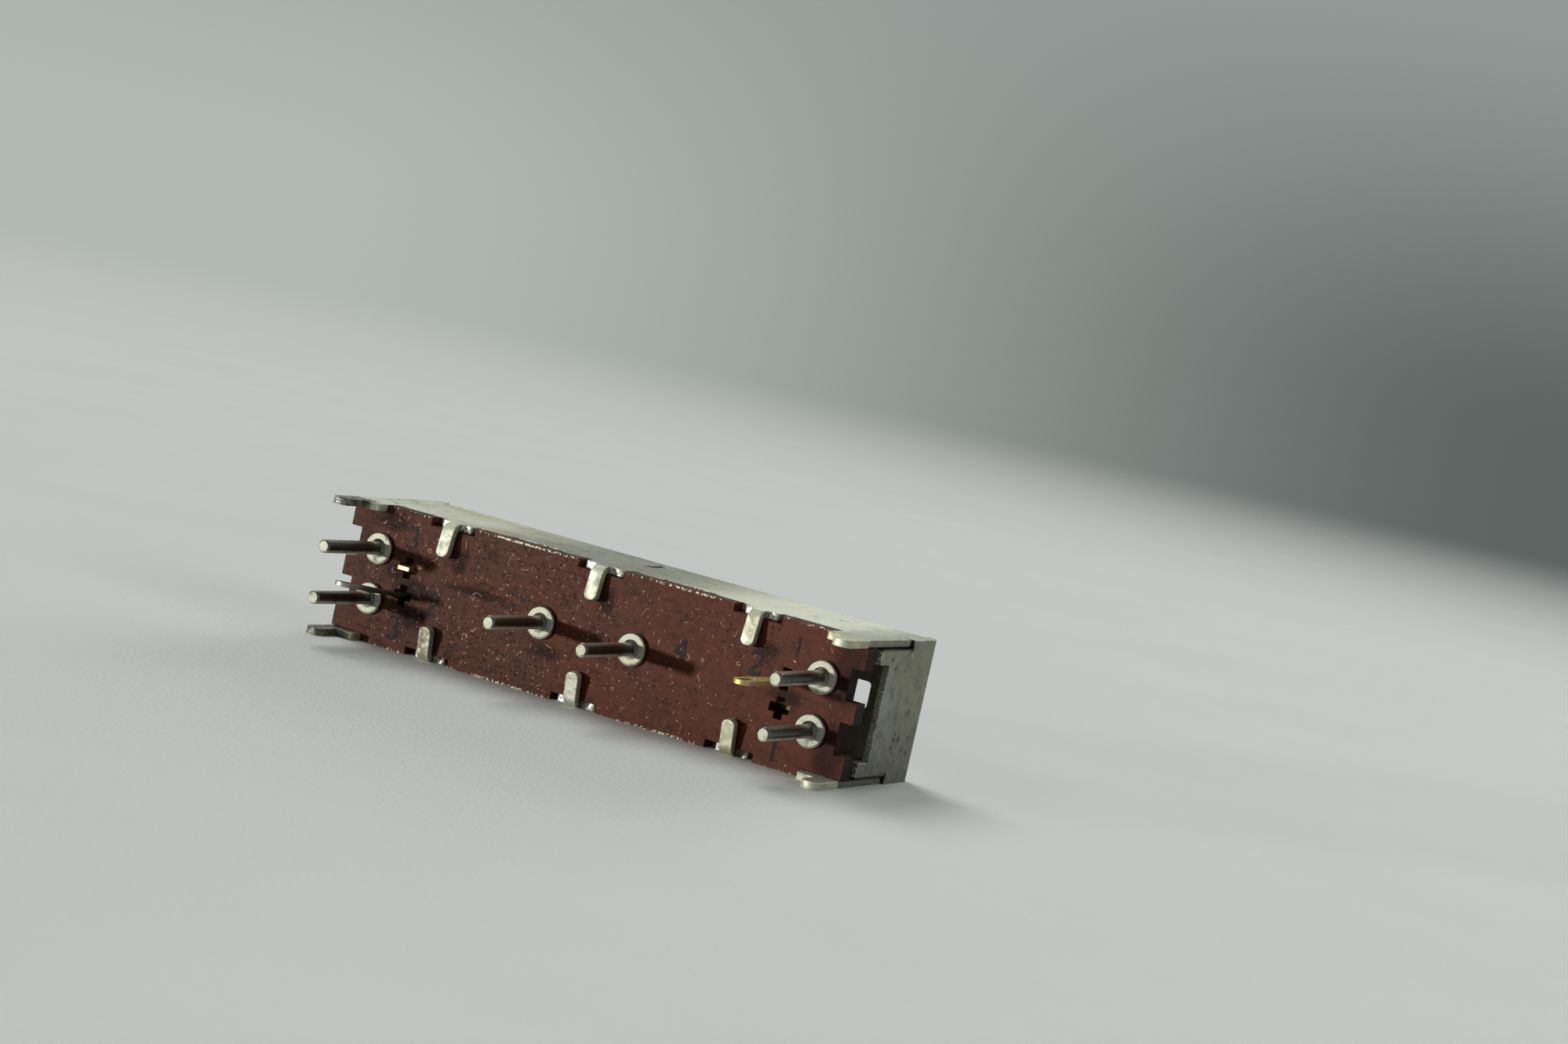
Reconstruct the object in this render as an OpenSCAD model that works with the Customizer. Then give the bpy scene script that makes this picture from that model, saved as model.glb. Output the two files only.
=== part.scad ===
// Dual slide potentiometer: a folded steel case, a phenolic terminal board and a sliding nylon lever.
// Millimetres. X is the travel, +Y points out of the panel face along the lever, and Z is up.
// The origin is the centre of the panel face.

/* [Case] */
// Length of the folded case over its end walls
case_l = 58.1; // [54:0.1:66]
// Width of the case over its side walls
case_w = 13.7; // [13.4:0.1:16]
// Depth from the panel face to the edge that carries the board
case_d = 12.9; // [11.5:0.1:15]
// Thickness of the folded sheet
sheet_t = 0.7; // [0.5:0.05:0.8]
// Inside radius of the folds round the panel
fold_r = 0.4; // [0.2:0.05:0.7]
// Open seam between neighbouring folded walls
seam = 0.12; // [0.06:0.02:0.2]
// Inset of the side walls' ends from the outer faces of the end walls
wall_inset = 0.25; // [0:0.05:0.6]
// Depth of the full-width part of an end wall
flap_d = 5.7; // [4:0.1:6.5]
// Gap between the recessed edge of an end wall and the board
recess_gap = 3.05; // [2:0.05:4]
// Width of that recess
recess_w = 9.2; // [7:0.1:10]
// Gap between the ears of an end wall and the board
ear_gap = 1; // [0.4:0.05:1.6]
// Width of the punched hole in each side wall
punch_w = 1.1; // [0.8:0.1:2]
// Length of the punched hole
punch_l = 3.6; // [2:0.1:5]
// Distance of the punched hole from the panel face
punch_y = 2.6; // [2:0.1:3]
// Distance of each edge window from the middle of the case
window_x = 8.65; // [7:0.05:9.5]
// Length of an edge window
window_l = 6.2; // [3:0.1:7]
// Depth of an edge window
window_h = 0.95; // [0.5:0.05:2]

/* [Panel] */
// Distance of the two tapped panel holes from the ends of the case
screw_inset = 3.05; // [2.9:0.05:3.4]
// Tapping diameter of the panel holes
screw_d = 2.5; // [2:0.1:2.6]
// Diameter of the burr drawn in round a panel hole
burr_d = 3.6; // [3.2:0.1:3.7]
// Height of that burr inside the case
burr_h = 0.7; // [0.3:0.1:1]
// Width of the lever slot
slot_w = 2.6; // [2.3:0.1:3.2]

/* [Clinch tabs and legs] */
// Distance between neighbouring clinch tabs
tab_pitch = 17.2; // [16:0.1:18]
// Width of a clinch tab
tab_w = 1.3; // [0.8:0.1:2]
// Straight length of a tab over the board
tab_l = 2.5; // [1.5:0.1:3]
// Inside radius of the tab's bend
tab_r = 0.3; // [0.2:0.05:0.5]
// Corner radius of a tab's tip
tab_tip_r = 0.55; // [0.1:0.05:0.6]
// Angle by which a tab stands off the board
tab_lean = 9; // [0:1:20]
// Width of the land that carries an outer tab
land_w = 3.6; // [2.5:0.1:4.4]
// Width of the land that carries the middle tab
mid_land_w = 4.4; // [2.5:0.1:4.6]
// Height of a land above the board seat
land_h = 1.15; // [0.6:0.05:1.3]
// Radius of the relief notches beside the middle land
relief_r = 0.6; // [0.3:0.05:0.8]
// Width of a corner leg
leg_w = 1.8; // [1.2:0.1:2]
// Length of a corner leg past the board
leg_l = 4.5; // [3:0.1:6]
// Width of the shoulder beside a leg
shoulder_w = 1.85; // [1:0.05:2.2]
// Height of the shoulder past the board
shoulder_h = 1.6; // [0.8:0.1:2.4]
// Corner radius of lands and shoulders
corner_r = 0.4; // [0.1:0.05:0.5]

/* [Terminal board] */
// Thickness of the board
board_t = 1.7; // [1.5:0.1:2.4]
// Inset of the board's ends from the outer faces of the end walls
board_inset = 0.15; // [0:0.05:0.5]
// Width of the edge notches that take the lands
notch_w = 5.2; // [5:0.1:6]
// Width of the end notches
end_notch_w = 3.05; // [2:0.05:3.6]
// Depth of the end notches
end_notch_d = 1.25; // [0.6:0.05:1.6]

/* [Terminal pins] */
// Distance of the end pins from the ends of the case
pin_inset = 4.05; // [3.8:0.05:4.6]
// Distance between the end pins across the board
pin_pitch_z = 5; // [4.6:0.1:5.6]
// Distance between the two tap pins
tap_pitch = 10.3; // [7:0.1:16]
// Diameter of a pin
pin_d = 1.3; // [0.8:0.1:1.4]
// Length of a pin past the board
pin_l = 9.3; // [4:0.1:12]
// Diameter of a pin's shank in the board
shank_d = 1.7; // [1.4:0.05:1.8]
// Diameter of the flange under a pin
flange_d = 3.2; // [2.6:0.1:3.4]
// Thickness of the flange
flange_t = 0.5; // [0.3:0.05:0.8]
// Diameter of the riveted inner end of a pin
rivet_d = 2.2; // [2:0.1:2.4]
// Height of the riveted inner end
rivet_t = 0.35; // [0.2:0.05:0.4]
// Broken edges of a pin
pin_edge = 0.15; // [0.05:0.05:0.2]

/* [Tracks and collectors] */
// Distance of a carbon track from the middle line
track_z = 4; // [3.95:0.05:4.4]
// Width of a carbon track
track_w = 2.4; // [1.6:0.1:2.4]
// Distance from the end of a track to its pin
pad_run = 3.5; // [2.5:0.1:5]
// Thickness of the printed films
film_t = 0.06; // [0.04:0.01:0.1]
// Diameter of the silver print under a pin
pad_d = 2.8; // [2.4:0.1:3]
// Width of the silver line from a tap to its track
lead_w = 0.8; // [0.5:0.1:1.2]
// Distance of a collector's inner edge from the middle line
strip_z = 1.15; // [1.1:0.01:1.25]
// Width of a collector strip
strip_w = 1.3; // [1:0.1:1.4]
// Thickness of a collector strip
strip_t = 0.4; // [0.3:0.05:0.45]
// Height of a collector strip over the board
strip_rise = 0.55; // [0.5:0.05:0.8]
// Length of a collector's web on the board beside its hole
web_rest = 0.5; // [0.3:0.05:0.7]
// Distance of the crossed holes from the ends of the case
cross_inset = 7.7; // [7.5:0.05:8]
// Length of the arms of a crossed hole
cross_l = 2.1; // [1.8:0.1:2.2]
// Width of the arms of a crossed hole
cross_w = 0.9; // [0.7:0.05:1.1]
// Offset of a lug from the middle of its hole
lug_offset = 0.4; // [0:0.05:0.4]
// Width of a lug at the board
lug_root_w = 1.1; // [0.8:0.1:1.1]
// Width of a lug at its eye
lug_tip_w = 1.7; // [1.5:0.1:2]
// Length of a lug past the board
lug_l = 8.6; // [6:0.1:10]
// Outward lean of the lug on the left
left_lug_lean = 10; // [-10:1:16]
// Outward lean of the lug on the right
right_lug_lean = -5; // [-10:1:16]
// Tilt of the lug on the left towards the middle line
left_lug_tilt = 5; // [-6:1:6]
// Tilt of the lug on the right towards the middle line
right_lug_tilt = 1; // [-6:1:6]
// Width of a lug's eye
eye_w = 0.8; // [0.5:0.1:1]
// Length of a lug's eye
eye_l = 2.2; // [1.2:0.1:3]
// Width of a collector's tail
tail_w = 1.3; // [0.8:0.1:1.4]
// Length past the board of the tail on the left
left_tail_l = 0.8; // [0:0.1:1]
// Length of the tail on the right inside its hole in the board
right_tail_l = 0.2; // [0.1:0.1:2.5]

/* [Slider] */
// Length of the carriage inside the case
carriage_l = 15.9; // [13:0.1:20]
// Width of the lever in the slot
lever_w = 6; // [5:0.1:7]
// Thickness of the lever
lever_t = 2; // [1.6:0.1:2.1]
// Length of the lever above the panel
lever_l = 20.2; // [15:0.1:26]
// Height of the lever's shoulders above the panel
notch_y = 7; // [4:0.1:9]
// Length of the V notches that hold the knob
vee_l = 2.6; // [1.6:0.1:3.2]
// Width of the neck between the notches
neck_w = 3.7; // [3:0.1:4.2]
// Width of the blade above the notches
blade_w = 5; // [4.4:0.1:5.6]
// Width of the blade below its cut corners
tip_w = 3.8; // [3:0.1:4.4]
// Width of the blade's end
tip_end_w = 2.9; // [2:0.1:3]
// Length of the cut corners
tip_cut = 0.8; // [0.4:0.1:1.2]
// Length of the bevel at the tip
bevel_l = 2.4; // [1:0.1:4]
// Thickness of the tip
tip_t = 1.1; // [0.6:0.1:1.5]
// Height left for the wipers between the carriage and the board
wiper_space = 4.5; // [3.8:0.1:5]
// Width of each rail that rides on the panel
rail_w = 3.2; // [2:0.1:3.4]

/* [Wipers and spring] */
// Thickness of a wiper
wiper_t = 0.25; // [0.15:0.05:0.35]
// Horizontal reach of a wiper finger
finger_run = 4.2; // [3.4:0.1:4.4]
// Distance of a wiper's plate from the end of the carriage
plate_edge = 0.4; // [0.2:0.05:0.6]
// Width of a finger on the track
track_finger_w = 0.7; // [0.4:0.05:0.9]
// Gap between the fingers on the track
track_finger_gap = 0.4; // [0.2:0.05:0.5]
// Width of a finger on the collector
strip_finger_w = 0.45; // [0.3:0.05:0.5]
// Gap between the fingers on the collector
strip_finger_gap = 0.15; // [0.1:0.05:0.2]
// Mean radius of the curl that touches the track
toe_r = 0.6; // [0.4:0.05:0.9]
// Angle of the curl past its contact point
toe_turn = 60; // [30:5:80]
// Diameter of the pegs that hold a wiper
peg_d = 0.9; // [0.7:0.05:1]
// Distance between the two pegs of a wiper
peg_pitch = 1.8; // [1.7:0.1:2.2]
// Diameter of a peg's upset head
peg_head_d = 1.5; // [1.3:0.05:1.6]
// Height of a peg's upset head
peg_head_h = 0.4; // [0.2:0.05:0.6]
// Depth of a peg's root in the carriage
peg_root = 0.5; // [0.2:0.1:1]
// Length of the drag spring
spring_l = 9; // [6:0.1:10]
// Width of the drag spring
spring_w = 3; // [2:0.1:4]
// Thickness of the drag spring
spring_t = 0.2; // [0.15:0.05:0.3]
// Bow of the drag spring
spring_bow = 0.6; // [0.3:0.05:0.9]

/* [Fits] */
// Clearance between the sliding faces
slide_gap = 0.1; // [0.05:0.01:0.15]
// Clearance between a curved spring face and what it runs on
contact_gap = 0.1; // [0.05:0.01:0.15]
// Clearance round pins, tabs and lugs in the board
seat_gap = 0.08; // [0.05:0.01:0.12]
// Clearance between the carriage and an end wall at the end of the travel
stop_gap = 0.4; // [0.3:0.05:0.6]
// Clearance of the lever at the ends of its slot, and the slot's corner radius
slot_gap = 0.4; // [0.3:0.05:0.6]
// Clearance between the carriage and the panel's burrs
burr_gap = 0.3; // [0.2:0.05:0.5]
// Clearance round the drag spring in its pocket
pocket_gap = 0.25; // [0.1:0.05:0.4]
// Clearance under the ends of the drag spring
spring_seat = 0.02; // [0.01:0.01:0.05]

/* [Hidden] */
$fn = 64;

// Outside fold radius, inside half sizes, ends of the side walls and faces of the board
fold_o = fold_r + sheet_t;
in_w = case_w / 2 - sheet_t;
in_l = case_l / 2 - sheet_t;
wall_end = case_l / 2 - wall_inset;
board_in = -case_d;
board_out = -case_d - board_t;

// Places along the case: what sits near its ends keeps its distance from them
screw_x = case_l / 2 - screw_inset;
pin_x = case_l / 2 - pin_inset;
cross_x = case_l / 2 - cross_inset;
lug_x = cross_x + lug_offset;
lands = [[-tab_pitch, land_w], [0, mid_land_w], [tab_pitch, land_w]];
leg_in = wall_end - leg_w - shoulder_w;

// The tracks lie between the end pins, the collectors between the crossed holes
track_l = 2 * (pin_x - pad_run);
web_l = cross_l + 2 * web_rest;
film_top = board_in + film_t;
strip_under = board_in + strip_rise;
strip_top = strip_under + strip_t;
strip_half_l = cross_x + web_l / 2;

// The travel is what the carriage leaves of the case
travel = 2 * (in_l - stop_gap) - carriage_l;
slot_l = travel + lever_w + 2 * slot_gap;
carriage_w = 2 * (in_w - slide_gap);
rail_top = -sheet_t - slide_gap;
block_top = -sheet_t - burr_h - burr_gap;
block_end = board_in + wiper_space;

// Wiper plate, its pegs and its two heights of finger
plate_x = carriage_l / 2 - plate_edge;
plate_z = [strip_z, track_z + track_w / 2];
peg_x = (plate_x + finger_run) / 2;
peg_z = [for (s = [-1, 1]) (plate_z[0] + plate_z[1] + s * peg_pitch) / 2];
finger_y = block_end - wiper_t / 2;
track_touch = film_top + contact_gap;
strip_touch = strip_top + contact_gap;

// Radius of the bowed drag spring from its chord and bow, and the pocket floor under its ends
bow_r = (spring_l * spring_l / 4 + spring_bow * spring_bow) / (2 * spring_bow);
bow_a = asin(spring_l / 2 / bow_r);
bow_z = in_w - contact_gap - spring_t / 2 - bow_r;
pocket_z = bow_z + (bow_r - spring_t / 2) * cos(bow_a) - spring_seat;
spring_y = (block_top + block_end) / 2;

// Extrudes an outline in Y and Z along X
module along_x(l) {
    rotate([90, 0, 90])
        linear_extrude(l, center = true)
            children();
}

// Extrudes an outline in X and Z from y towards the pins
module towards_pins(y, l) {
    translate([0, y, 0])
        rotate([90, 0, 0])
            linear_extrude(l)
                children();
}

// Rectangle between two corners
module span(a, b) {
    translate([min(a.x, b.x), min(a.y, b.y)])
        square([abs(b.x - a.x), abs(b.y - a.y)]);
}

// Part of a ring between two angles
module ring_sector(r, t, from, to) {
    intersection() {
        difference() {
            circle(r + t);
            circle(r);
        }
        polygon([
            [0, 0],
            for (a = [from, (from + to) / 2, to])
                2 * (r + t) * [cos(a), sin(a)]
        ]);
    }
}

// Rectangle standing down from y by h, with round lower corners
module stub(x, w, y, h, r) {
    span([x - w / 2, y], [x + w / 2, y - h + r]);
    span([x - w / 2 + r, y], [x + w / 2 - r, y - h]);
    for (s = [-1, 1])
        translate([x + s * (w / 2 - r), y - h + r])
            circle(r);
}

// Oblong with round ends along X
module oblong(l, w) {
    square([l - w, w], center = true);
    for (s = [-1, 1])
        translate([s * (l - w) / 2, 0])
            circle(w / 2);
}

// Rectangle with round corners
module soft_rectangle(l, w, r) {
    square([l, w - 2 * r], center = true);
    square([l - 2 * r, w], center = true);
    for (sx = [-1, 1], sz = [-1, 1])
        translate([sx * (l / 2 - r), sz * (w / 2 - r)])
            circle(r);
}

// Outline of a side wall in X and Y
module side_outline() {
    difference() {
        union() {
            span([-in_l + seam, -fold_o], [in_l - seam, -flap_d - seam]);
            span([-wall_end, -flap_d - seam], [wall_end, board_in]);
        }
        for (s = [-1, 1]) {
            span([s * (window_x - window_l / 2), board_in - 1],
                 [s * (window_x + window_l / 2), board_in + window_h]);
            translate([s * (mid_land_w / 2 + relief_r), board_in])
                circle(relief_r);
        }
        span([-punch_w / 2, -punch_y], [punch_w / 2, -punch_y - punch_l]);
    }
    for (land = lands) {
        stub(land[0], land[1], board_in, land_h, corner_r);
        span([land[0] - tab_w / 2, board_in], [land[0] + tab_w / 2, tab_bend_y()]);
    }
    for (s = [-1, 1]) {
        stub(s * (leg_in + wall_end) / 2, leg_w + shoulder_w, board_in, board_t + shoulder_h, corner_r);
        stub(s * (wall_end - leg_w / 2), leg_w, board_in, board_t + leg_l, leg_w * 0.45);
    }
}

// Height of the axis about which a tab bends: its inside curve passes the corner of the board
function tab_bend_y() = board_out + sqrt(2 * seat_gap * (tab_r - seat_gap));

// Bend of a tab in Y and Z
module tab_bend() {
    translate([tab_bend_y(), in_w - tab_r])
        ring_sector(tab_r, sheet_t, 90, 180 - tab_lean);
}

// Straight end of a tab over the board, with a round tip
module tab_blade() {
    translate([0, tab_bend_y(), in_w - tab_r])
        rotate([180 - tab_lean, 0, 0])
            translate([0, tab_r, 0])
                rotate([-90, 0, 0])
                    linear_extrude(sheet_t)
                        stub(0, tab_w, 0, tab_l, min(tab_tip_r, tab_w / 2 - 0.05));
}

// Side wall with its legs and clinch tabs
module side_wall() {
    translate([0, 0, in_w])
        linear_extrude(sheet_t)
            side_outline();
    for (land = lands)
        translate([land[0], 0, 0]) {
            along_x(tab_w)
                tab_bend();
            tab_blade();
        }
}

// Fold between the panel and a side wall
module side_fold() {
    along_x(case_l - 2 * fold_o - 2 * seam)
        translate([-fold_o, case_w / 2 - fold_o])
            ring_sector(fold_r, sheet_t, 0, 90);
}

// Fold between the panel and an end wall, over the whole width
module end_fold() {
    translate([case_l / 2 - fold_o, -fold_o, 0])
        linear_extrude(case_w, center = true)
            ring_sector(fold_r, sheet_t, 0, 90);
}

// End wall: wide by the panel, then narrow between the side walls, with a recess and two ears
module end_wall() {
    translate([in_l + sheet_t / 2, 0, 0])
        along_x(sheet_t) {
            span([-fold_o, -case_w / 2], [-flap_d, case_w / 2]);
            span([-fold_o, -in_w + seam], [board_in + recess_gap, in_w - seam]);
            for (s = [-1, 1])
                span([-flap_d, s * recess_w / 2], [board_in + ear_gap, s * (in_w - seam)]);
        }
}

// Panel with the lever slot and two tapped holes in drawn burrs
module panel() {
    difference() {
        union() {
            towards_pins(0, sheet_t)
                difference() {
                    square([case_l - 2 * fold_o, case_w - 2 * fold_o], center = true);
                    soft_rectangle(slot_l, slot_w, slot_gap);
                }
            for (s = [-1, 1])
                translate([s * screw_x, -sheet_t / 2, 0])
                    rotate([90, 0, 0])
                        cylinder(h = sheet_t / 2 + burr_h, d = burr_d);
        }
        for (s = [-1, 1])
            translate([s * screw_x, 1, 0])
                rotate([90, 0, 0])
                    cylinder(h = sheet_t + burr_h + 2, d = screw_d);
    }
}

module housing() {
    color("silver") {
        panel();
        for (s = [0, 1]) {
            mirror([0, 0, s]) {
                side_fold();
                side_wall();
            }
            mirror([s, 0, 0]) {
                end_fold();
                end_wall();
            }
        }
    }
}

// Crossed holes at both ends of the upper collector, for its lug and its tail
module crossed_holes() {
    for (s = [-1, 1])
        translate([s * cross_x, strip_z + strip_t / 2]) {
            square([cross_l, cross_w], center = true);
            square([cross_w, cross_l], center = true);
        }
}

// Outline of the board in X and Z
module board_outline() {
    edge = in_w - seat_gap;
    half_l = case_l / 2 - board_inset;
    difference() {
        square([2 * half_l, case_w], center = true);
        for (sx = [-1, 1], sz = [-1, 1]) {
            span([sx * (leg_in - seat_gap), sz * edge], [sx * (half_l + 1), sz * case_w]);
            translate([sx * half_l, sz * pin_pitch_z / 2])
                square([2 * end_notch_d, end_notch_w], center = true);
            translate([sx * pin_x, sz * pin_pitch_z / 2])
                circle(shank_d / 2 + seat_gap);
        }
        for (land = lands, sz = [-1, 1])
            span([land[0] - notch_w / 2, sz * edge], [land[0] + notch_w / 2, sz * case_w]);
        for (s = [-1, 1])
            translate([s * tap_pitch / 2, 0])
                circle(shank_d / 2 + seat_gap);
        for (a = [0, 180])
            rotate(a)
                crossed_holes();
    }
}

module terminal_board() {
    color("saddlebrown")
        towards_pins(board_in, board_t)
            board_outline();
}

// Printed film on the inner face of the board
module film() {
    towards_pins(film_top, film_t)
        children();
}

module carbon_track(s) {
    color("dimgray")
        film()
            translate([0, s * track_z])
                square([track_l, track_w], center = true);
}

// Silver print from each end of a track to its pin
module end_pads(s) {
    color("gainsboro")
        film()
            for (sx = [-1, 1])
                difference() {
                    union() {
                        span([sx * track_l / 2, s * (track_z - track_w / 2)],
                             [sx * pin_x, s * (track_z + track_w / 2)]);
                        translate([sx * pin_x, s * pin_pitch_z / 2])
                            circle(pad_d / 2);
                    }
                    translate([sx * pin_x, s * pin_pitch_z / 2])
                        circle(shank_d / 2 + seat_gap);
                }
}

// Silver print from a tap pin to its track, passing under the collector
module tap_pad(s) {
    color("gainsboro")
        film()
            translate([s * tap_pitch / 2, 0])
                difference() {
                    union() {
                        circle(rivet_d / 2);
                        span([-lead_w / 2, 0], [lead_w / 2, s * (track_z - track_w / 2)]);
                    }
                    circle(shank_d / 2 + seat_gap);
                }
}

// Web in X and Y that stands on the board across a crossed hole
module web_outline(x) {
    stub(x, web_l, strip_top, strip_rise + strip_t, strip_t / 4);
}

// Free end of a lug in X and Y: widening to an eye with a round tip
module lug_outline() {
    reach = lug_l - lug_root_w / 2 - lug_tip_w / 2;
    difference() {
        union() {
            circle(lug_root_w / 2);
            polygon([
                [-lug_root_w / 2, 0], [lug_root_w / 2, 0],
                [lug_tip_w / 2, -reach + eye_l], [lug_tip_w / 2, -reach],
                [-lug_tip_w / 2, -reach], [-lug_tip_w / 2, -reach + eye_l]
            ]);
            translate([0, -reach])
                circle(lug_tip_w / 2);
        }
        translate([0, -reach + eye_l / 2 - eye_w / 2])
            rotate(90)
                oblong(eye_l, eye_w);
    }
}

// Lug: straight through the board, then bent sideways by its lean and its tilt
module lug(lean, tilt) {
    bend_y = board_out - lug_root_w / 2;
    linear_extrude(strip_t)
        span([lug_x - lug_root_w / 2, strip_under], [lug_x + lug_root_w / 2, bend_y]);
    translate([lug_x, bend_y, strip_t / 2])
        rotate([tilt, 0, lean]) {
            linear_extrude(strip_t, center = true)
                lug_outline();
            rotate([0, 90, 0])
                cylinder(h = lug_root_w, d = strip_t, center = true);
        }
}

// Tail in X and Y: a tongue into the board
module tail_outline(y) {
    span([-cross_x - tail_w / 2, strip_under], [-cross_x + tail_w / 2, y]);
}

// Collector strip with a lug at one end and a tail at the other, both bent down from its inner edge
module collector(lean, tilt, tail_y) {
    color("goldenrod")
        translate([0, 0, strip_z]) {
            linear_extrude(strip_w)
                span([-strip_half_l, strip_under], [strip_half_l, strip_top]);
            linear_extrude(strip_t) {
                web_outline(cross_x);
                web_outline(-cross_x);
                tail_outline(tail_y);
            }
            lug(lean, tilt);
        }
}

module collector_upper() {
    collector(right_lug_lean, right_lug_tilt, board_out - left_tail_l);
}

module collector_lower() {
    rotate([0, 180, 0])
        collector(left_lug_lean, left_lug_tilt, board_in - right_tail_l);
}

// Riveted pin as a turned profile: inner head, shank, flange with a round rim, pin with a broken edge
module terminal_pin(x, z) {
    r = pin_d / 2;
    shank = shank_d / 2;
    rivet = rivet_d / 2;
    rim = flange_d / 2 - flange_t / 2;
    inner = board_t + film_t;
    color("lightgray")
        translate([x, board_out, z])
            rotate([90, 0, 0])
                rotate_extrude() {
                    polygon([
                        [0, -inner - rivet_t], [rivet - pin_edge, -inner - rivet_t],
                        [rivet, -inner - rivet_t + pin_edge], [rivet, -inner],
                        [shank, -inner], [shank, 0], [rim, 0],
                        [rim, flange_t], [r + 2 * pin_edge, flange_t],
                        [r, flange_t + 2 * pin_edge], [r, pin_l - pin_edge], [r - pin_edge, pin_l], [0, pin_l]
                    ]);
                    translate([rim, flange_t / 2])
                        intersection() {
                            circle(flange_t / 2);
                            translate([0, -flange_t])
                                square(2 * flange_t);
                        }
                }
}

// Lever outline in X and Y: shoulders, V notches, tapering blade
module lever_outline() {
    right = [
        [lever_w / 2, block_end], [lever_w / 2, notch_y],
        [neck_w / 2, notch_y + vee_l / 2], [blade_w / 2, notch_y + vee_l],
        [tip_w / 2, lever_l - tip_cut], [tip_end_w / 2, lever_l]
    ];
    left = [for (i = [len(right) - 1 : -1 : 0]) [-right[i].x, right[i].y]];
    polygon(concat(right, left));
}

// Lever section in Y and Z, with a bevel on both faces of the tip
module lever_section() {
    polygon([
        [block_end, -lever_t / 2], [lever_l - bevel_l, -lever_t / 2], [lever_l, -tip_t / 2],
        [lever_l, tip_t / 2], [lever_l - bevel_l, lever_t / 2], [block_end, lever_t / 2]
    ]);
}

// Carriage section in Y and Z: a block with two rails that clear the panel's burrs and its folds
module carriage_section() {
    half_w = carriage_w / 2;
    span([block_end, -half_w], [block_top, half_w]);
    for (s = [-1, 1])
        polygon([
            [block_end, s * half_w], [rail_top - fold_r, s * half_w], [rail_top, s * (half_w - fold_r)],
            [rail_top, s * (half_w - rail_w)], [block_end, s * (half_w - rail_w)]
        ]);
}

module slider_lever() {
    color("khaki") {
        difference() {
            along_x(carriage_l)
                carriage_section();
            translate([0, spring_y, pocket_z + in_w])
                cube([spring_l + 2 * pocket_gap, spring_w + 2 * pocket_gap, 2 * in_w], center = true);
        }
        intersection() {
            linear_extrude(lever_t, center = true)
                lever_outline();
            along_x(lever_w)
                lever_section();
        }
        for (s = [-1, 1], z = peg_z)
            translate([-s * peg_x, block_end + peg_root, s * z])
                rotate([90, 0, 0]) {
                    cylinder(h = peg_root + wiper_t + peg_head_h, d = peg_d);
                    translate([0, 0, peg_root + wiper_t])
                        cylinder(h = peg_head_h, d1 = peg_head_d, d2 = peg_head_d - peg_head_h);
                }
    }
}

// Slope of a finger that leaves the plate and runs tangent to a curl touching at the given height
function finger_slope(touch) =
    let (drop = finger_y - touch - toe_r - wiper_t / 2, reach = norm([finger_run, drop]))
    atan2(drop, finger_run) + asin(toe_r / reach);

// Finger in X and Y, with its contact point at X = 0
module finger_outline(touch) {
    slope = finger_slope(touch);
    centre = [0, touch + toe_r + wiper_t / 2];
    start = [-finger_run, finger_y];
    reach = norm(centre - start);
    translate(start) {
        circle(wiper_t / 2);
        rotate(-slope)
            translate([0, -wiper_t / 2])
                square([sqrt(reach * reach - toe_r * toe_r), wiper_t]);
    }
    translate(centre)
        ring_sector(toe_r - wiper_t / 2, wiper_t, 270 - slope, 270 + toe_turn);
}

// Two fingers side by side at the given distance from the middle line
module fingers(touch, z, w, gap) {
    for (s = [-1, 1])
        translate([0, 0, z + s * (w + gap) / 2])
            linear_extrude(w, center = true)
                finger_outline(touch);
}

// Wiper: a plate staked under the carriage, two fingers on the track and two on the collector
module wiper() {
    color("peru") {
        towards_pins(block_end, wiper_t)
            difference() {
                span([-plate_x, plate_z[0]], [-finger_run, plate_z[1]]);
                for (z = peg_z)
                    translate([-peg_x, z])
                        circle(peg_d / 2 + seat_gap / 2);
            }
        fingers(track_touch, track_z, track_finger_w, track_finger_gap);
        fingers(strip_touch, strip_z + strip_w / 2, strip_finger_w, strip_finger_gap);
    }
}

module wiper_upper() {
    wiper();
}

module wiper_lower() {
    rotate([0, 180, 0])
        wiper();
}

// Bowed leaf in a pocket of the carriage that drags along the upper side wall
module drag_spring() {
    color("lightsteelblue")
        towards_pins(spring_y + spring_w / 2, spring_w)
            translate([0, bow_z])
                ring_sector(bow_r - spring_t / 2, spring_t, 90 - bow_a, 90 + bow_a);
}

housing();
terminal_board();
carbon_track(1);  // carbon_track_upper
carbon_track(-1);  // carbon_track_lower
end_pads(1);  // end_pads_upper
end_pads(-1);  // end_pads_lower
tap_pad(1);  // tap_pad_upper
tap_pad(-1);  // tap_pad_lower
collector_upper();
collector_lower();
terminal_pin(-pin_x, pin_pitch_z / 2);  // pin_upper_left
terminal_pin(pin_x, pin_pitch_z / 2);  // pin_upper_right
terminal_pin(-pin_x, -pin_pitch_z / 2);  // pin_lower_left
terminal_pin(pin_x, -pin_pitch_z / 2);  // pin_lower_right
terminal_pin(-tap_pitch / 2, 0);  // tap_pin_left
terminal_pin(tap_pitch / 2, 0);  // tap_pin_right
slider_lever();
wiper_upper();
wiper_lower();
drag_spring();
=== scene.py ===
import functools
import math

import bpy
import numpy as np
from mathutils import Matrix, Vector


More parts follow.
